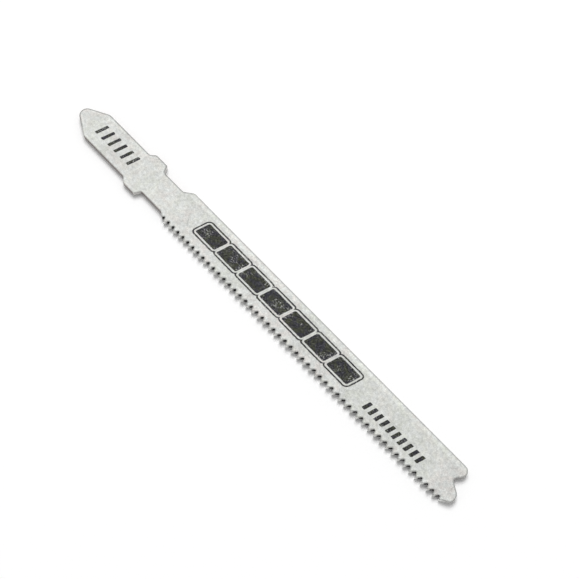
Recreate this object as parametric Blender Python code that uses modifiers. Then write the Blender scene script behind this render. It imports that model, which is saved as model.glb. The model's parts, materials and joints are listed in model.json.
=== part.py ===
"""Jigsaw blade for metal: one flat steel blank with a T shank and a milled, wavy-set edge.

The drawing's X runs from the shank tip to the tail, its Y from the shank's centre line to the
back edge, and its Z from the middle of the thickness. The blade lies flat on its lowest teeth,
with the origin under the middle of its outline.
"""

import math
from bisect import bisect_right

import bmesh
import bpy
from mathutils import Vector
from mathutils.geometry import intersect_line_line_2d

MM = 0.001

# Blank
OVERALL_LENGTH = 92.0 * MM
THICKNESS = 1.0 * MM
EDGE_ROUNDING = 0.08 * MM       # left on the blanked edges by the blasting

# Shank
SHANK_WIDTH = 5.95 * MM
SHANK_TIP_RADIUS = 1.32 * MM
SHANK_FLANK_ANGLE = math.radians(28.2)      # of each flank to the centre line
SHANK_FLANK_RADIUS = 1.0 * MM

# Ears, which the clamp pulls on
EAR_HEIGHT = 0.825 * MM         # out from the shank's side, up to the line of the back edge
EAR_START = 14.7 * MM
EAR_END = 18.36 * MM
EAR_RAMP_ANGLE = math.radians(43.0)
EAR_RAMP_RADIUS = 0.6 * MM
SHOULDER_ANGLE = math.radians(63.4)
SHOULDER_RADIUS = 0.3 * MM

# Neck between the ears and the body
NECK_WIDTH = 5.15 * MM
NECK_ROOT_RADIUS = 0.5 * MM
HEEL_BACK_START = 23.9 * MM     # where the neck begins to widen on the back side
HEEL_FRONT_START = 24.2 * MM    # and on the toothed side
HEEL_ANGLE = math.radians(38.0)
HEEL_RADIUS = 0.9 * MM

# Toothed edge
HEEL_STEP = 1.025 * MM          # the tooth tips stand this far out from the neck
TAPER = 0.3 * MM                # the blade is this much narrower at the tail
FIRST_GULLET = 25.34 * MM
PLAIN_TAIL = 1.9 * MM           # no gullet comes closer to the blade's end
PITCH_AT_HEEL = 1.22 * MM
PITCH_IN_MIDDLE = 1.365 * MM
PITCH_AT_TAIL = 1.24 * MM
TOOTH_DEPTH = 0.84 * MM
TOOTH_FACE_ANGLE = math.radians(25.0)       # of the cutting face to square, a negative rake
GULLET_RADIUS = 0.15 * MM
TIP_LAND = 0.05 * MM

# Wavy set, in which the teeth lean up and down in turns
SET_AMOUNT = 0.2 * MM           # of a full wave's tips, to each side
SET_DEPTH = 2.0 * MM            # height of the bent band above the tips
SET_RUN_IN = 11.0 * MM          # length in which the set grows from nothing
SET_EASE = 0.07                 # share lost by the middle of the row, so the blade lies on its ends
TEETH_IN_WAVE = 4
CREST_TOOTH = 2.9               # where the first wave would crest, counted in teeth
SET_ROWS = 3                    # lines of points from the band's top to just above the gullets
ROW_CLEARANCE = 0.08 * MM       # of the last of them from the gullets

# Tail, a long lobe and a short one with a notch between them
SHORT_LOBE_SETBACK = 1.45 * MM
SHORT_LOBE_RADIUS = 1.0 * MM
SHORT_LOBE_FLANK_RADIUS = 0.8 * MM
NOTCH_SETBACK = 2.55 * MM       # to where the notch's flanks would meet
NOTCH_DROP = 2.86 * MM          # below the back edge
NOTCH_RADIUS = 0.55 * MM
NOTCH_UPPER_ANGLE = math.radians(51.0)
NOTCH_LOWER_ANGLE = math.radians(30.0)
LONG_LOBE_RADIUS = 1.3 * MM
LOBE_END = 0.16 * MM            # straight end of the long lobe between its two rounds
CORNER_ANGLE = math.radians(30.0)
CORNER_RADIUS = 1.0 * MM

ARC_STEP = math.radians(7.5)    # largest turn between two points of a rounded corner
GULLET_STEP = math.radians(30.0)
DEPTH_PASSES = 8                # a gullet's depth and its flanks' angle settle well within these
BEVEL_SEGMENTS = 2
FLAT_ANGLE = math.radians(0.5)  # faces that turn less than this are one
SMOOTH_ANGLE = math.radians(30.0)
WALL_ANGLE = math.radians(60.0)     # faces steeper than this are the blank's walls
CUTTER_REACH = 0.4 * TIP_LAND   # of the gullet cutters past the tooth tips
SNAP = 0.001 * MM               # points closer than this are one
NEAR = 0.02 * MM                # points this close to a cut are left where they are

BACK_EDGE = SHANK_WIDTH / 2 + EAR_HEIGHT
FAR = OVERALL_LENGTH            # long enough to run a construction line to


def clear_scene():
    for item in list(bpy.data.objects):
        bpy.data.objects.remove(item, do_unlink=True)


def steel():
    material = bpy.data.materials.new("blasted_steel")
    material.use_nodes = True
    shader = material.node_tree.nodes["Principled BSDF"]
    shader.inputs["Base Color"].default_value = (0.66, 0.67, 0.64, 1.0)
    shader.inputs["Metallic"].default_value = 0.85
    shader.inputs["Roughness"].default_value = 0.5
    return material


def along(point, angle):
    """A far point on the line that leaves a point at an angle to the X axis."""
    return point + FAR * Vector((math.cos(angle), math.sin(angle)))


def crossing(start_a, end_a, start_b, end_b):
    """Where two straight lines of the drawing cross."""
    hit = intersect_line_line_2d(start_a, end_a, start_b, end_b)
    if hit is None:
        raise ValueError("two lines of the outline no longer cross")
    return hit


def fillet(before, corner, after, radius, step):
    """Points of the arc that rounds one corner of the outline."""
    if radius <= 0.0:
        return [corner]
    arriving = (before - corner).normalized()
    leaving = (after - corner).normalized()
    half = arriving.angle(leaving) / 2
    centre = corner + (arriving + leaving).normalized() * radius / math.sin(half)
    reach = radius / math.tan(half)
    first = corner + arriving * reach - centre
    turn = first.angle_signed(corner + leaving * reach - centre)
    count = max(1, math.ceil(abs(turn) / step))
    points = []
    for k in range(count + 1):
        swing = -turn * k / count
        x = first.x * math.cos(swing) - first.y * math.sin(swing)
        y = first.x * math.sin(swing) + first.y * math.cos(swing)
        points.append(centre + Vector((x, y)))
    return points


def tip_line(x):
    """Y of the line that the tooth tips lie on."""
    share = (x - FIRST_GULLET) / (OVERALL_LENGTH - FIRST_GULLET)
    return TAPER * share - HEEL_STEP - NECK_WIDTH / 2


def pitch(x):
    """Distance to the next gullet: widest in the middle of the row."""
    share = (x - FIRST_GULLET) / (OVERALL_LENGTH - PLAIN_TAIL - FIRST_GULLET)
    ends = PITCH_AT_HEEL + (PITCH_AT_TAIL - PITCH_AT_HEEL) * share
    swell = PITCH_IN_MIDDLE - (PITCH_AT_HEEL + PITCH_AT_TAIL) / 2
    return ends + swell * 4 * share * (1 - share)


def gullet_row():
    row = []
    x = FIRST_GULLET
    while x < OVERALL_LENGTH - PLAIN_TAIL:
        row.append(x)
        x += pitch(x)
    return row


def vee_depth(step):
    """Height above the tips at which a gullet's two flanks would meet if it had no round."""
    depth = TOOTH_DEPTH
    for _ in range(DEPTH_PASSES):
        back = math.atan2(step - TIP_LAND - depth * math.tan(TOOTH_FACE_ANGLE), depth)
        half = (back + TOOTH_FACE_ANGLE) / 2
        lean = (back - TOOTH_FACE_ANGLE) / 2
        depth = TOOTH_DEPTH + GULLET_RADIUS * (math.cos(lean) / math.sin(half) - 1)
    return depth


def gullet_vee(row, k):
    """One gullet without its round: the tooth tips on either side, and where the flanks meet."""
    x = row[k]
    step = x - row[k - 1] if k else pitch(x)
    depth = vee_depth(step)
    face = depth * math.tan(TOOTH_FACE_ANGLE)
    shank_side = x + face + TIP_LAND - step
    tail_side = x + face
    return (
        Vector((shank_side, tip_line(shank_side))),
        Vector((x, tip_line(x) + depth)),
        Vector((tail_side, tip_line(tail_side))),
    )


def gullet_loop(row, k):
    """Outline of the cutter that mills one gullet, run a little below the tips."""
    shank_side, root, tail_side = gullet_vee(row, k)
    stretch = 1 + CUTTER_REACH / (root.y - tip_line(root.x))
    low = root + (shank_side - root) * stretch
    lower = root + (tail_side - root) * stretch
    return [low] + fillet(low, root, lower, GULLET_RADIUS, GULLET_STEP) + [lower]


def tail_corners():
    """Corners of the tail from the back edge down, and the line from its last corner."""
    short_end = OVERALL_LENGTH - SHORT_LOBE_SETBACK
    notch = Vector((OVERALL_LENGTH - NOTCH_SETBACK, BACK_EDGE - NOTCH_DROP))
    side = (Vector((short_end, -FAR)), Vector((short_end, FAR)))
    end = (Vector((OVERALL_LENGTH, -FAR)), Vector((OVERALL_LENGTH, FAR)))
    upper = crossing(notch, along(notch, NOTCH_UPPER_ANGLE), *side)
    lower = crossing(notch, along(notch, -NOTCH_LOWER_ANGLE), *end)
    above = LONG_LOBE_RADIUS * math.tan((math.pi / 2 - NOTCH_LOWER_ANGLE) / 2)
    below = CORNER_RADIUS * math.tan((math.pi / 2 - CORNER_ANGLE) / 2)
    corner = Vector((OVERALL_LENGTH, lower.y - above - LOBE_END - below))
    corners = [
        (Vector((short_end, BACK_EDGE)), SHORT_LOBE_RADIUS),
        (upper, SHORT_LOBE_FLANK_RADIUS),
        (notch, NOTCH_RADIUS),
        (lower, LONG_LOBE_RADIUS),
        (corner, CORNER_RADIUS),
    ]
    return corners, (corner, along(corner, math.pi + CORNER_ANGLE))


def shank_corners():
    """Corners of the shank's upper side, from its straight side to the body."""
    shank = SHANK_WIDTH / 2
    neck = NECK_WIDTH / 2
    flank_length = shank / math.tan(SHANK_FLANK_ANGLE)
    apex = SHANK_TIP_RADIUS - SHANK_TIP_RADIUS / math.sin(SHANK_FLANK_ANGLE)
    ramp = (BACK_EDGE - shank) / math.tan(EAR_RAMP_ANGLE)
    drop = (BACK_EDGE - neck) / math.tan(SHOULDER_ANGLE)
    return apex, [
        (Vector((apex + flank_length, shank)), SHANK_FLANK_RADIUS),
        (Vector((EAR_START, shank)), EAR_RAMP_RADIUS),
        (Vector((EAR_START + ramp, BACK_EDGE)), EAR_RAMP_RADIUS),
        (Vector((EAR_END, BACK_EDGE)), SHOULDER_RADIUS),
        (Vector((EAR_END + drop, neck)), NECK_ROOT_RADIUS),
    ]


def blank_outline():
    """Points of the blank's outline before the teeth are milled, clockwise from the tip."""
    neck = NECK_WIDTH / 2
    apex, shank = shank_corners()
    rise = (BACK_EDGE - neck) / math.tan(HEEL_ANGLE)
    heel_front = Vector((HEEL_FRONT_START, -neck))
    heel_line = (heel_front, along(heel_front, -HEEL_ANGLE))
    tail, corner_line = tail_corners()
    edge = (Vector((0.0, tip_line(0.0))), Vector((OVERALL_LENGTH, tip_line(OVERALL_LENGTH))))
    corners = [(Vector((apex, 0.0)), SHANK_TIP_RADIUS)]
    corners += shank
    corners.append((Vector((HEEL_BACK_START, neck)), HEEL_RADIUS))
    corners.append((Vector((HEEL_BACK_START + rise, BACK_EDGE)), HEEL_RADIUS))
    corners += tail
    corners.append((crossing(*corner_line, *edge), 0.0))
    corners.append((crossing(*heel_line, *edge), 0.0))
    corners.append((heel_front, HEEL_RADIUS))
    corners += [(Vector((place.x, -place.y)), radius) for place, radius in reversed(shank)]
    points = []
    for k, (corner, radius) in enumerate(corners):
        before = corners[k - 1][0]
        after = corners[(k + 1) % len(corners)][0]
        points += fillet(before, corner, after, radius, ARC_STEP)
    return points


def plate(name, loops, thickness, collection):
    """A flat plate with the given outlines: a filled curve, made a closed mesh."""
    curve = bpy.data.curves.new(name, "CURVE")
    curve.dimensions = "2D"
    curve.fill_mode = "BOTH"
    curve.extrude = thickness / 2
    for loop in loops:
        spline = curve.splines.new("POLY")
        spline.points.add(len(loop) - 1)
        for target, point in zip(spline.points, loop):
            target.co = (point.x, point.y, 0.0, 1.0)
        spline.use_cyclic_u = True
    drawn = bpy.data.objects.new(name, curve)
    collection.objects.link(drawn)
    bpy.context.view_layer.update()
    graph = bpy.context.evaluated_depsgraph_get()
    mesh = bpy.data.meshes.new_from_object(drawn.evaluated_get(graph))
    place = drawn.matrix_world.copy()
    bpy.data.objects.remove(drawn, do_unlink=True)
    bm = bmesh.new()
    bm.from_mesh(mesh)
    bmesh.ops.remove_doubles(bm, verts=bm.verts, dist=SNAP)
    bmesh.ops.recalc_face_normals(bm, faces=bm.faces)
    bmesh.ops.dissolve_limit(bm, angle_limit=FLAT_ANGLE, verts=bm.verts, edges=bm.edges)
    bm.to_mesh(mesh)
    bm.free()
    solid = bpy.data.objects.new(name, mesh)
    solid.matrix_world = place
    collection.objects.link(solid)
    return solid


def milled(solid, cutter):
    """A mesh of the solid with the cutter's shapes milled out of it."""
    cut = solid.modifiers.new("gullets", "BOOLEAN")
    cut.object = cutter
    cut.operation = "DIFFERENCE"
    cut.solver = "EXACT"
    cut.use_self = True
    bpy.context.view_layer.update()
    graph = bpy.context.evaluated_depsgraph_get()
    mesh = bpy.data.meshes.new_from_object(solid.evaluated_get(graph))
    solid.modifiers.remove(cut)
    return mesh


def split(bm, faces, point, normal):
    """Cuts some faces along a plane and keeps both sides."""
    edges = {edge for face in faces for edge in face.edges}
    verts = {vert for face in faces for vert in face.verts}
    geometry = list(faces) + list(edges) + list(verts)
    bmesh.ops.bisect_plane(bm, geom=geometry, dist=NEAR, plane_co=point, plane_no=normal)


def band_share(x, y):
    """How far down the bent band a point is: 0 on its upper line, 1 at the tips."""
    return (tip_line(x) + SET_DEPTH - y) / SET_DEPTH


def split_band(bm, row):
    """Cuts the band above the teeth into a net that can bend."""
    start = row[0] - pitch(row[0])
    split(bm, bm.faces, Vector((start, 0.0, 0.0)), Vector((1.0, 0.0, 0.0)))
    tip_run = Vector((OVERALL_LENGTH - FIRST_GULLET, tip_line(OVERALL_LENGTH) - tip_line(FIRST_GULLET)))
    across = Vector((-tip_run.y, tip_run.x, 0.0)).normalized()
    clear = SET_DEPTH - TOOTH_DEPTH - ROW_CLEARANCE
    for k in range(SET_ROWS):
        height = SET_DEPTH - clear * k / (SET_ROWS - 1)
        line = Vector((FIRST_GULLET, tip_line(FIRST_GULLET) + height, 0.0))
        split(bm, [f for f in bm.faces if f.calc_center_median().x > start], line, across)
    stations = []
    for k, x in enumerate(row):
        stations += [x, gullet_vee(row, k)[2].x]
    while stations[-1] < OVERALL_LENGTH:
        stations.append(stations[-1] + PITCH_AT_TAIL / 2)
    for x in stations:
        nearby = []
        for face in bm.faces:
            middle = face.calc_center_median()
            if middle.x > start and band_share(middle.x, middle.y) > 0:
                nearby.append(face)
        split(bm, nearby, Vector((x, 0.0, 0.0)), Vector((1.0, 0.0, 0.0)))


def tooth_number(row, x):
    """Place of x in the row, counted in teeth from the first gullet."""
    k = min(max(bisect_right(row, x) - 1, 0), len(row) - 2)
    return k + (x - row[k]) / (row[k + 1] - row[k])


def set_height(row, x, y):
    """How far the wavy set lifts the steel at a point: a bend like that of a clamped strip."""
    down = band_share(x, y)
    if down <= 0 or x < row[0] - pitch(row[0]):
        return 0.0
    bend = down * down * (3 - down) / 2
    grown = min(max((x - row[0]) / SET_RUN_IN, 0.0), 1.0)
    grown = grown * grown * (3 - 2 * grown)
    run = (x - row[0] - SET_RUN_IN) / (row[-1] - row[0] - SET_RUN_IN)
    eased = 1 - SET_EASE * max(4 * run * (1 - run), 0.0)
    turn = math.tau * (tooth_number(row, x) - CREST_TOOTH) / TEETH_IN_WAVE
    return SET_AMOUNT * bend * grown * eased * math.cos(turn)


def mark_rounded_edges(bm, row):
    """Marks the blanked edges for rounding. The milled teeth stay sharp."""
    weight = bm.edges.layers.float.new("bevel_weight_edge")
    first = row[0] - pitch(row[0])
    last = gullet_vee(row, len(row) - 1)[2].x
    for edge in bm.edges:
        middle = (edge.verts[0].co + edge.verts[1].co) / 2
        level = abs(edge.verts[0].co.z - edge.verts[1].co.z) < SNAP
        flat = [abs(face.normal.z) > math.cos(WALL_ANGLE) for face in edge.link_faces]
        milled = first < middle.x < last and middle.y < 0
        if level and flat.count(True) == 1 and not milled:
            edge[weight] = 1.0


def build_blade(collection, cutters):
    row = gullet_row()
    blade = plate("blade", [blank_outline()], THICKNESS, collection)
    loops = [gullet_loop(row, k) for k in range(len(row))]
    cutter = plate("gullet_cutters", loops, 2 * THICKNESS, cutters)
    cutter.hide_render = True
    cutter.display_type = "WIRE"
    blade.data = milled(blade, cutter)
    bm = bmesh.new()
    bm.from_mesh(blade.data)
    split_band(bm, row)
    mark_rounded_edges(bm, row)
    bent = set()
    for vert in bm.verts:
        lift = set_height(row, vert.co.x, vert.co.y)
        if lift:
            vert.co.z += lift
            bent.update(vert.link_faces)
    bmesh.ops.triangulate(bm, faces=list(bent))
    lowest = min(vert.co.z for vert in bm.verts)
    sides = [vert.co.y for vert in bm.verts]
    bm.to_mesh(blade.data)
    bm.free()
    blade.data.shade_smooth()
    blade.data.set_sharp_from_angle(angle=SMOOTH_ANGLE)
    blade.data.materials.append(steel())
    blade.location = (-OVERALL_LENGTH / 2, -(min(sides) + max(sides)) / 2, -lowest)
    rounding = blade.modifiers.new("blanked_edges", "BEVEL")
    rounding.limit_method = "WEIGHT"
    rounding.width = EDGE_ROUNDING
    rounding.segments = BEVEL_SEGMENTS
    rounding.use_clamp_overlap = False
    return blade


def main():
    clear_scene()
    collection = bpy.data.collections.new("jigsaw_blade")
    cutters = bpy.data.collections.new("cutters")
    bpy.context.scene.collection.children.link(collection)
    bpy.context.scene.collection.children.link(cutters)
    build_blade(collection, cutters)
    bpy.context.view_layer.update()


if __name__ == "__main__":
    main()
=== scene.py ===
"""The looks of a jigsaw blade: blasted steel with dark print partly lost to wear, on a white
floor.
"""

import json
import math
from typing import NamedTuple

import bmesh
import bpy
from bpy.props import FloatProperty, FloatVectorProperty, IntProperty, PointerProperty
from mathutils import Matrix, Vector

bl_info = {
    "name": "Jigsaw blade looks",
    "version": (1, 0, 0),
    "blender": (4, 5, 0),
    "location": "3D View > Sidebar > Blade",
    "description": "Finishes a jigsaw blade and sets it on a lit white floor",
    "category": "Object",
}

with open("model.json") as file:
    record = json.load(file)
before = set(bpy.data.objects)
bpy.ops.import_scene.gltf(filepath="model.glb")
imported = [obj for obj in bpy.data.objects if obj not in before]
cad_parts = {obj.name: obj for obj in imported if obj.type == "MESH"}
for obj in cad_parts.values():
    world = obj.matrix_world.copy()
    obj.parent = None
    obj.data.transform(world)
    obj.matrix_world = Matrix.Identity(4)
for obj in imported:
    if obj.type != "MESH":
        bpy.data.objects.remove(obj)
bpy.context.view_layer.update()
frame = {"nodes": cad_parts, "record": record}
BLADE = frame["nodes"]["blade"]

MM = 0.001
TOP_FACE = frame["record"]["mounts"][0]["pos_m"][2]     # height of the printed face

# Places on the blade, in millimetres from the middle of its outline. A pair is a soft step:
# where it starts and where it is complete.
BODY = (-21.6, -21.2)           # X, from the neck to the body
SHOULDERS_START = (-27.95, -27.7)
SHOULDERS_END = (-26.9, -27.15)
SHANK_FRONT = (-1.8, -2.3)      # Y
MILLED_SIDE = (-1.8, -3.0)      # Y
RUBBED_BACK = (2.84, 2.98)      # Y
TOOTHED_FROM = -21.4            # X
TOOTHED_TO = 44.2               # X
TOOTHED_BELOW = -2.0            # Y
TIPS_IN_MIDDLE = -3.45          # Y of the tooth tips in the middle of the blade's length
TIPS_RISE = 0.3 / 92.0          # how much further up they are for each millimetre of X
PAINTED_ROOT_SHADE = (0.22, 0.55)       # above the tips; between them the gullets' sides take painted shade
PRINT_DEPTH = 0.05              # below the printed face

# Soft steps through how far a face looks up, and through what edge_band gives
SIDE = (0.55, 0.25)
PAINTED_EDGE_STEP = (0.003, 0.035)
WIDE_PAINTED_EDGE_STEP = (0.0005, 0.012)
PAINTED_HIGHLIGHT_STEP = (0.0003, 0.006)

# How much weaker the painted edge shade is along the shank's front edge, and how much stronger
# along its back edge and tip
FRONT_PAINTED_EDGE_LESS = 0.24
BACK_PAINTED_EDGE_MORE = 0.16

# Noises of the steel, in blotches a millimetre, and the share of each in the grain's shade
FINE, COARSE, SPOTS, CLOUDS, PATCHES = 5.0, 1.9, 0.9, 0.45, 0.2
FINE_SHADE, COARSE_SHADE, CLOUD_SHADE = 1.05, 0.62, 0.32
NOISE_MEAN = 0.5
WARM_PATCHES = (0.40, 0.62)
COOL_SPOTS = (0.35, 0.65)

# The blanked sides, and how far the shoulders' sides are painted paler as painted light
SIDE_GRAIN = 0.6
SIDE_SMOOTHER = 0.1
SHOULDER_PAINTED_LIGHT = 0.7

# Relief of the faces and their gloss
FINE_HEIGHT, COARSE_HEIGHT, INK_HEIGHT = 0.6, 0.4, 0.3
BUMP_STRENGTH = 0.5
BUMP_DISTANCE = 0.05 * MM
ROUGHNESS_SPREAD = 0.25
SPECULAR = 0.18

# Ink: its noises in blotches a millimetre, and the shares of it that wear takes off
RAGGED_EDGE, SPECKS, WORN_AREAS = 3.0, 4.5, 0.55
RAGGEDNESS = 0.16               # millimetres that the edge wanders
BLEED = 0.04                    # millimetres past its edge
SPECK_STEP = (0.50, 0.68)
AREA_STEP = (0.46, 0.66)
WORN_EVERYWHERE = 0.12
WORN_MORE_IN_AREAS = 0.6
TINTED_SPOTS = (0.42, 0.58)
INK_SHADE = 1.15
INK_GRAIN = 13.0
INK_ROUGHNESS = 0.55

# Large printed panel, in millimetres
PANEL_CENTRE = (3.37, 0.59)
BLOCK_GAP = 0.56
BLOCK_CORNER = 0.3
OUTLINE_GAP = 0.42              # from the blocks to the middle of the line round them
OUTLINE_WIDTH = 0.27


class Row(NamedTuple):
    """Equal bars in a row, in millimetres. Their size is their width and height."""

    centre: tuple
    count: int
    pitch: float
    size: tuple
    corner: float


SHANK_ROW = Row(centre=(-36.48, 0.09), count=6, pitch=1.66, size=(0.62, 2.42), corner=0.16)
TAIL_ROW = Row(centre=(32.0, -0.71), count=10, pitch=1.31, size=(0.68, 1.60), corner=0.14)

# Small dark streak near the heel
STREAK = Row(centre=(-17.3, -0.6), count=1, pitch=1.0, size=(0.14, 1.1), corner=0.05)
STREAK_LEAN = -0.6              # radians
STREAK_STEP = (0.1, -0.05)
STREAK_SHADE = 0.16

# Sockets of a Mix node that blends colours. Others of its sockets have the same names.
MIX_SHARE, MIX_UNDER, MIX_OVER, MIX_RESULT = 0, 6, 7, 2


class Wire:
    """An output of a node tree, or a number. Python's operators on it add Math nodes."""

    def __init__(self, look, source):
        self.look = look
        self.source = source

    def math(self, operation, *others):
        values = dict(enumerate((self,) + others))
        node = self.look.add("ShaderNodeMath", {"operation": operation}, values)
        return Wire(self.look, node.outputs[0])

    def __add__(self, other):
        return self.math("ADD", other)

    __radd__ = __add__

    def __sub__(self, other):
        return self.math("SUBTRACT", other)

    def __rsub__(self, other):
        return Wire(self.look, other).math("SUBTRACT", self)

    def __mul__(self, other):
        return self.math("MULTIPLY", other)

    __rmul__ = __mul__

    def __truediv__(self, other):
        return self.math("DIVIDE", other)

    def __rtruediv__(self, other):
        return Wire(self.look, other).math("DIVIDE", self)

    def __gt__(self, other):
        return self.math("GREATER_THAN", other)

    def __lt__(self, other):
        return self.math("LESS_THAN", other)

    def __abs__(self):
        return self.math("ABSOLUTE")

    def larger(self, other):
        return self.math("MAXIMUM", other)

    def smaller(self, other):
        return self.math("MINIMUM", other)

    def between(self, low, high):
        """0 at low, 1 at high and a soft step between them. Low may be above high."""
        node = self.look.add(
            "ShaderNodeMapRange",
            {"interpolation_type": "SMOOTHSTEP"},
            {"Value": self, "From Min": low, "From Max": high},
        )
        return Wire(self.look, node.outputs["Result"])

    def inked(self):
        """1 where a distance is below 0, with an edge that bleeds a little."""
        return self.between(BLEED, -BLEED)


class Look:
    """A node tree that a finish is built in."""

    def __init__(self, tree):
        self.tree = tree
        tree.nodes.clear()

    def add(self, kind, settings=None, sockets=None):
        """A node of one kind: its settings are made first, then its sockets are fed."""
        node = self.tree.nodes.new(kind)
        for name, value in (settings or {}).items():
            setattr(node, name, value)
        for name, value in (sockets or {}).items():
            socket = node.inputs[name]
            if isinstance(value, Wire):
                value = value.source
            if isinstance(value, bpy.types.NodeSocket):
                self.tree.links.new(value, socket)
            else:
                socket.default_value = value
        return node

    def scaled(self, vector, factor):
        """A place or a colour times a number."""
        sockets = {0: vector, "Scale": factor}
        node = self.add("ShaderNodeVectorMath", {"operation": "SCALE"}, sockets)
        return Wire(self, node.outputs[0])

    def place(self):
        """X, Y and Z on the blade in millimetres, and the three as one vector."""
        where = self.scaled(self.add("ShaderNodeTexCoord").outputs["Object"], 1 / MM)
        parts = self.add("ShaderNodeSeparateXYZ", sockets={0: where}).outputs
        return [Wire(self, part) for part in parts] + [where]

    def facing(self):
        """The direction that the surface looks in."""
        return self.add("ShaderNodeNewGeometry").outputs["Normal"]

    def upward(self):
        """How far the surface looks up: 1 on the top face, 0 on a side, -1 on the underside."""
        parts = self.add("ShaderNodeSeparateXYZ", sockets={0: self.facing()}).outputs
        return Wire(self, parts["Z"])

    def edge_band(self, width):
        """How far the rounding of an edge would turn the surface, 0 on an open face."""
        rounded = self.add("ShaderNodeBevel", {"samples": 6}, {"Radius": width}).outputs[0]
        sockets = {0: rounded, 1: self.facing()}
        turn = self.add("ShaderNodeVectorMath", {"operation": "DOT_PRODUCT"}, sockets)
        return 1 - Wire(self, turn.outputs["Value"])

    def noise(self, where, scale, detail=2.0, roughness=0.5):
        """Smooth noise from about 0.3 to 0.7. The scale is in blotches a millimetre."""
        node = self.add(
            "ShaderNodeTexNoise",
            {"noise_dimensions": "3D"},
            {"Vector": where, "Scale": scale, "Detail": detail, "Roughness": roughness},
        )
        return Wire(self, node.outputs["Fac"])

    def blend(self, share, under, over):
        """One colour over another."""
        sockets = {MIX_SHARE: share, MIX_UNDER: under, MIX_OVER: over}
        node = self.add("ShaderNodeMix", {"data_type": "RGBA"}, sockets)
        return Wire(self, node.outputs[MIX_RESULT])

    def bump(self, height, strength, distance):
        sockets = {"Height": height, "Strength": strength, "Distance": distance}
        return self.add("ShaderNodeBump", sockets=sockets).outputs["Normal"]

    def principled(self, sockets):
        """The tree's one shader, joined to its output."""
        shader = self.add("ShaderNodeBsdfPrincipled", sockets=sockets).outputs[0]
        self.add("ShaderNodeOutputMaterial", sockets={"Surface": shader})


class Blotches:
    """The noises of the blasted steel, from its finest grain to its broadest patches."""

    def __init__(self, look, where):
        self.fine = look.noise(where, FINE, roughness=0.6)
        self.coarse = look.noise(where, COARSE)
        self.spots = look.noise(where, SPOTS, detail=1.0)
        self.clouds = look.noise(where, CLOUDS)
        self.patches = look.noise(where, PATCHES)
        self.grain = (
            (self.fine - NOISE_MEAN) * FINE_SHADE
            + (self.coarse - NOISE_MEAN) * COARSE_SHADE
            + (self.clouds - NOISE_MEAN) * CLOUD_SHADE
        )


class SteelSettings(bpy.types.PropertyGroup):
    face_colour: FloatVectorProperty(
        name="Face", description="Colour of the blasted faces", subtype="COLOR", size=4,
        default=(0.672, 0.684, 0.648, 1.0))
    warm_colour: FloatVectorProperty(
        name="Warm patches", description="Colour that the faces drift towards in patches",
        subtype="COLOR", size=4, default=(0.694, 0.680, 0.660, 1.0))
    cool_colour: FloatVectorProperty(
        name="Cool spots", description="Colour that the faces drift towards in small spots",
        subtype="COLOR", size=4, default=(0.672, 0.682, 0.668, 1.0))
    shank_side_colour: FloatVectorProperty(
        name="Shank sides", description="Colour of the blanked sides of the shank and neck",
        subtype="COLOR", size=4, default=(0.352, 0.312, 0.300, 1.0))
    # Blanked sides, set paler than the shank's sides as painted light.
    body_side_and_painted_light_colour: FloatVectorProperty(
        name="Body sides", description="Colour of the blanked sides of the body", subtype="COLOR",
        size=4, default=(0.52, 0.51, 0.50, 1.0))
    # Bright milled steel, set paler than the faces as painted light on the body's toothed side.
    milled_and_painted_light_colour: FloatVectorProperty(
        name="Milled sides", description="Colour of the milled sides of the teeth",
        subtype="COLOR", size=4, default=(0.86, 0.86, 0.84, 1.0))
    # Painted shade: the milled sides turn this dark deep in the gullets.
    painted_gullet_shade: FloatVectorProperty(
        name="Gullets", description="Colour of the milled sides deep in the gullets",
        subtype="COLOR", size=4, default=(0.045, 0.043, 0.042, 1.0))
    roughness: FloatProperty(
        name="Roughness", description="Roughness that the blasting leaves", subtype="FACTOR",
        default=0.78, min=0.0, max=1.0)
    grain: FloatProperty(
        name="Grain", description="How strongly the blasted grain shows", subtype="FACTOR",
        default=0.75, min=0.0, max=1.0)
    # Painted shade: the width and depth of a darker band along every edge of the faces.
    edge_width: FloatProperty(
        name="Edge width", description="Width of the darker rim along the blade's edges",
        unit="LENGTH", default=0.45 * MM)
    painted_edge_shade_depth: FloatProperty(
        name="Rim shade", description="How much darker the rim is than the face",
        subtype="FACTOR", default=0.44, min=0.0, max=1.0)
    # Painted highlight: the width and strength of a paler band just inside the painted edge
    # shade.
    painted_highlight_width: FloatProperty(
        name="Worn width", description="Width of the paler worn band inside the dark rim",
        unit="LENGTH", default=0.9 * MM)
    painted_highlight_strength: FloatProperty(
        name="Worn shine", description="How much paler the worn band is than the face",
        subtype="FACTOR", default=0.075, min=0.0, max=1.0)
    rubbed_shine: FloatProperty(
        name="Rubbed shine", description="How much paler the body is along its back edge",
        subtype="FACTOR", default=0.085, min=0.0, max=1.0)


class PrintSettings(bpy.types.PropertyGroup):
    ink_colour: FloatVectorProperty(
        name="Ink", description="Colour of the print", subtype="COLOR", size=4,
        default=(0.011, 0.011, 0.017, 1.0))
    ink_tint: FloatVectorProperty(
        name="Ink tint", description="Colour that the print drifts towards in spots",
        subtype="COLOR", size=4, default=(0.018, 0.020, 0.010, 1.0))
    block_count: IntProperty(
        name="Blocks", description="Slanted blocks in the large panel", default=7, min=1)
    panel_length: FloatProperty(
        name="Panel length", description="Length of the row of blocks", unit="LENGTH",
        default=37.1 * MM)
    panel_height: FloatProperty(
        name="Panel height", description="Height of the row of blocks", unit="LENGTH",
        default=2.7 * MM)
    slant: FloatProperty(
        name="Slant", description="Lean of the printed shapes", subtype="ANGLE",
        default=math.radians(14.0))


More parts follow.
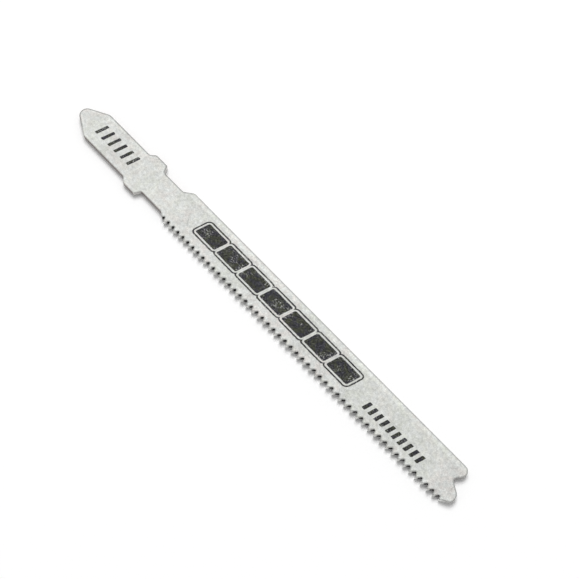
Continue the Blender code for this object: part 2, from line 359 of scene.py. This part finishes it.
class StageSettings(bpy.types.PropertyGroup):
    floor_radius: FloatProperty(
        name="Floor radius", description="Radius of the floor", unit="LENGTH", default=4.0)
    floor_colour: FloatVectorProperty(
        name="Floor", description="Colour of the floor", subtype="COLOR", size=4,
        default=(0.985, 0.985, 0.985, 1.0))
    ambient: FloatProperty(
        name="Ambient", description="Strength of the light from all around", default=0.45)
    key_power: FloatProperty(
        name="Key power", description="Power of the soft lamp", subtype="POWER", default=115.5)
    key_distance: FloatProperty(
        name="Key distance", description="From the blade to the soft lamp", unit="LENGTH",
        default=4.0)
    key_size: FloatProperty(
        name="Key size", description="Diameter of the soft lamp", unit="LENGTH", default=2.5)
    key_azimuth: FloatProperty(
        name="Key azimuth", description="Direction of the soft lamp, from +X towards +Y",
        subtype="ANGLE", default=math.radians(137.0))
    key_elevation: FloatProperty(
        name="Key elevation", description="Height of the soft lamp", subtype="ANGLE",
        default=math.radians(60.0))
    view_azimuth: FloatProperty(
        name="View azimuth", description="Direction that the camera looks in, from +Y towards -X",
        subtype="ANGLE", default=math.radians(47.17))
    view_elevation: FloatProperty(
        name="View elevation", description="Height that the camera looks down from",
        subtype="ANGLE", default=math.radians(68.82))
    view_distance: FloatProperty(
        name="View distance", description="From the camera to the blade's face", unit="LENGTH",
        default=0.1996)
    view_centre: FloatVectorProperty(
        name="View centre", description="Point of the blade's face in the middle of the picture",
        unit="LENGTH", size=2, default=(3.215 * MM, 3.703 * MM))
    lens: FloatProperty(
        name="Lens", description="Focal length", subtype="DISTANCE_CAMERA", default=75.48)


def direction(azimuth, elevation):
    """Unit vector to a point of the sky, its azimuth counted from +X towards +Y."""
    flat = math.cos(elevation)
    return Vector((flat * math.cos(azimuth), flat * math.sin(azimuth), math.sin(elevation)))


def bars(x, y, row, slant):
    """Distance outside the nearest bar of a leaning row. It is below 0 inside a bar."""
    (middle_x, middle_y), (width, height) = row.centre, row.size
    leaning = x - (y - middle_y) * math.tan(slant)
    cell = ((leaning - (middle_x - row.pitch * row.count / 2)) / row.pitch).math("FLOOR")
    cell = cell.larger(0.0).smaller(row.count - 1.0)
    from_bar = leaning - (middle_x - row.pitch * (row.count - 1) / 2) - cell * row.pitch
    across = abs(from_bar) - (width / 2 - row.corner)
    along = abs(y - middle_y) - (height / 2 - row.corner)
    outside = across.larger(0.0) * across.larger(0.0) + along.larger(0.0) * along.larger(0.0)
    return outside.math("SQRT") + across.larger(along).smaller(0.0) - row.corner


def print_mask(look, x, y, where, settings):
    """Where the print is: a large outlined row of slanted blocks and two rows of small bars."""
    pitch = settings.panel_length / MM / settings.block_count
    block = (pitch - BLOCK_GAP, settings.panel_height / MM)
    panel = Row(PANEL_CENTRE, settings.block_count, pitch, block, BLOCK_CORNER)
    wander = (look.noise(where, RAGGED_EDGE, detail=3.0) - NOISE_MEAN) * RAGGEDNESS
    x, y = x + wander, y + wander
    blocks = bars(x, y, panel, settings.slant)
    outline = abs(blocks - OUTLINE_GAP) - OUTLINE_WIDTH / 2
    ink = blocks.inked().larger(outline.inked())
    for row in (SHANK_ROW, TAIL_ROW):
        ink = ink.larger(bars(x, y, row, settings.slant).inked())
    specks = look.noise(where, SPECKS, detail=3.0, roughness=0.7).between(*SPECK_STEP)
    areas = look.noise(where, WORN_AREAS).between(*AREA_STEP)
    return ink * (1 - specks * (areas * WORN_MORE_IN_AREAS + WORN_EVERYWHERE))


def ink_shade(look, settings, blotches):
    """Colour of the print, in which the blasted grain still shows."""
    tinted = blotches.spots.between(*TINTED_SPOTS)
    colour = look.blend(tinted, settings.ink_colour, settings.ink_tint)
    return look.scaled(colour, INK_SHADE + (blotches.fine - NOISE_MEAN) * INK_GRAIN)


def face_shade(look, steel, x, y, blotches):
    """Colour of the faces: grain and faint patches, a darker band along the edges as painted
    shade, and a paler band inside it as a painted highlight.
    """
    warm = blotches.patches.between(*WARM_PATCHES)
    colour = look.blend(warm, steel.face_colour, steel.warm_colour)
    colour = look.blend(blotches.spots.between(*COOL_SPOTS), colour, steel.cool_colour)
    body = x.between(*BODY)
    shank = 1 - body
    front = y.between(*SHANK_FRONT)
    edge = look.edge_band(steel.edge_width)
    # Painted shade: a darker band along the edges, weaker along the shank's front edge and
    # stronger along its back edge and tip.
    painted_edge_shade = edge.between(*PAINTED_EDGE_STEP) * (steel.painted_edge_shade_depth - front * shank * FRONT_PAINTED_EDGE_LESS)
    painted_edge_shade = painted_edge_shade + edge.between(*WIDE_PAINTED_EDGE_STEP) * (1 - front) * shank * BACK_PAINTED_EDGE_MORE
    rubbed = body * y.between(*RUBBED_BACK)
    # Painted highlight: a paler band just inside the painted edge shade, left off along the
    # rubbed back edge.
    painted_highlight = look.edge_band(steel.painted_highlight_width).between(*PAINTED_HIGHLIGHT_STEP) * (1 - rubbed)
    streak = bars(x, y, STREAK, STREAK_LEAN).between(*STREAK_STEP)
    shine = 1 + blotches.grain * steel.grain
    shine = shine + painted_highlight * steel.painted_highlight_strength + rubbed * steel.rubbed_shine
    return look.scaled(colour, shine * (1 - painted_edge_shade) * (1 - streak * STREAK_SHADE))


def side_shade(look, steel, x, y, blotches):
    """Colour of the sides: blanked, milled along the teeth, painted paler along the body and at
    the shoulders as painted light, and painted dark deep in the gullets as painted shade.
    """
    body = x.between(*BODY)
    # Painted light: the body's sides are paler than the shank's.
    colour = look.blend(body, steel.shank_side_colour, steel.body_side_and_painted_light_colour)
    # Painted light in part: the body's toothed side takes the bright milled colour.
    colour = look.blend(body * y.between(*MILLED_SIDE), colour, steel.milled_and_painted_light_colour)
    # Painted light: the shoulders' sides blend towards the paler milled colour.
    shoulders = x.between(*SHOULDERS_START) * x.between(*SHOULDERS_END)
    colour = look.blend(shoulders * SHOULDER_PAINTED_LIGHT, colour, steel.milled_and_painted_light_colour)
    toothed = (y < TOOTHED_BELOW) * (x > TOOTHED_FROM) * (x < TOOTHED_TO)
    # Painted shade: the sides darken from the tooth tips towards the gullets' roots.
    painted_root_shade = (y - (x * TIPS_RISE + TIPS_IN_MIDDLE)).between(*PAINTED_ROOT_SHADE)
    colour = look.blend(toothed * painted_root_shade, colour, steel.painted_gullet_shade)
    return look.scaled(colour, 1 + blotches.grain * SIDE_GRAIN)


def steel_look(material, steel, print_settings):
    """Bead-blasted strip: fine grain, faint patches, darker cut sides, painted light and shade on
    the sides and edges, and dark print partly lost to wear.
    """
    look = Look(material.node_tree)
    x, y, z, where = look.place()
    blotches = Blotches(look, where)
    side = abs(look.upward()).between(*SIDE)
    on_top = z > (TOP_FACE / MM - PRINT_DEPTH)
    ink = print_mask(look, x, y, where, print_settings) * on_top * (1 - side)
    faces = face_shade(look, steel, x, y, blotches)
    colour = look.blend(side, faces, side_shade(look, steel, x, y, blotches))
    colour = look.blend(ink, colour, ink_shade(look, print_settings, blotches))
    roughness = (blotches.fine - NOISE_MEAN) * ROUGHNESS_SPREAD
    roughness = roughness + (steel.roughness - side * SIDE_SMOOTHER)
    roughness = roughness + (INK_ROUGHNESS - roughness) * ink
    height = blotches.fine * FINE_HEIGHT + blotches.coarse * COARSE_HEIGHT + ink * INK_HEIGHT
    look.principled({
        "Base Color": colour,
        "Roughness": roughness,
        "Metallic": 1 - ink,
        "Normal": look.bump(height, BUMP_STRENGTH, BUMP_DISTANCE),
        "Specular IOR Level": SPECULAR,
    })


class FinishBlade(bpy.types.Operator):
    """Gives the blade its blasted steel and its print"""

    bl_idname = "jigsaw_blade.finish_blade"
    bl_label = "Finish the blade"

    def execute(self, context):
        material = bpy.data.materials.new("blasted_steel_printed")
        material.use_nodes = True
        steel_look(material, context.scene.blade_steel, context.scene.blade_print)
        BLADE.data.materials.clear()
        BLADE.data.materials.append(material)
        return {"FINISHED"}


class SetStage(bpy.types.Operator):
    """Makes the white floor, the light and the camera"""

    bl_idname = "jigsaw_blade.set_stage"
    bl_label = "Set the stage"

    def execute(self, context):
        stage = context.scene.blade_stage
        self.make_floor(context, stage)
        self.make_world(context, stage)
        self.make_key(context, stage)
        self.make_camera(context, stage)
        context.scene.view_settings.view_transform = "Standard"
        return {"FINISHED"}

    def make_floor(self, context, stage):
        mesh = bpy.data.meshes.new("floor")
        bm = bmesh.new()
        bmesh.ops.create_circle(bm, cap_ends=True, radius=stage.floor_radius, segments=96)
        bm.to_mesh(mesh)
        bm.free()
        floor = bpy.data.objects.new("floor", mesh)
        context.scene.collection.objects.link(floor)
        material = bpy.data.materials.new("white_floor")
        material.use_nodes = True
        Look(material.node_tree).principled({
            "Base Color": stage.floor_colour,
            "Roughness": 0.9,
            "Specular IOR Level": 0.0,
        })
        mesh.materials.append(material)

    def make_world(self, context, stage):
        world = bpy.data.worlds.new("white_room")
        context.scene.world = world
        world.use_nodes = True
        look = Look(world.node_tree)
        sockets = {"Color": (1.0, 1.0, 1.0, 1.0), "Strength": stage.ambient}
        light = look.add("ShaderNodeBackground", sockets=sockets)
        look.add("ShaderNodeOutputWorld", sockets={"Surface": light.outputs[0]})

    def make_key(self, context, stage):
        data = bpy.data.lights.new("soft_key", "AREA")
        data.shape = "DISK"
        data.size = stage.key_size
        data.energy = stage.key_power
        lamp = bpy.data.objects.new("soft_key", data)
        toward = direction(stage.key_azimuth, stage.key_elevation)
        lamp.location = toward * stage.key_distance
        lamp.rotation_euler = toward.to_track_quat("Z", "Y").to_euler()
        context.scene.collection.objects.link(lamp)

    def make_camera(self, context, stage):
        data = bpy.data.cameras.new("camera")
        data.sensor_width = 36.0
        data.lens = stage.lens
        data.clip_start = 0.01
        data.clip_end = 10.0
        camera = bpy.data.objects.new("camera", data)
        back = direction(stage.view_azimuth - math.pi / 2, stage.view_elevation)
        centre = Vector((*stage.view_centre, TOP_FACE))
        camera.location = centre + back * stage.view_distance
        camera.rotation_euler = back.to_track_quat("Z", "Y").to_euler()
        context.scene.collection.objects.link(camera)
        context.scene.camera = camera


class BladePanel(bpy.types.Panel):
    """Lists the settings and the steps"""

    bl_idname = "VIEW3D_PT_jigsaw_blade"
    bl_label = "Jigsaw blade"
    bl_space_type = "VIEW_3D"
    bl_region_type = "UI"
    bl_category = "Blade"

    def draw(self, context):
        scene = context.scene
        for step, groups in (
            (FinishBlade, (scene.blade_steel, scene.blade_print)),
            (SetStage, (scene.blade_stage,)),
        ):
            box = self.layout.box()
            for group in groups:
                for name in group.bl_rna.properties.keys():
                    if name not in ("rna_type", "name"):
                        box.prop(group, name)
            box.operator(step.bl_idname)


CLASSES = (SteelSettings, PrintSettings, StageSettings, FinishBlade, SetStage, BladePanel)


def register():
    for cls in CLASSES:
        bpy.utils.register_class(cls)
    bpy.types.Scene.blade_steel = PointerProperty(type=SteelSettings)
    bpy.types.Scene.blade_print = PointerProperty(type=PrintSettings)
    bpy.types.Scene.blade_stage = PointerProperty(type=StageSettings)


def unregister():
    del bpy.types.Scene.blade_stage
    del bpy.types.Scene.blade_print
    del bpy.types.Scene.blade_steel
    for cls in reversed(CLASSES):
        bpy.utils.unregister_class(cls)


def main():
    register()
    bpy.ops.jigsaw_blade.finish_blade()
    bpy.ops.jigsaw_blade.set_stage()


if __name__ == "__main__":
    main()
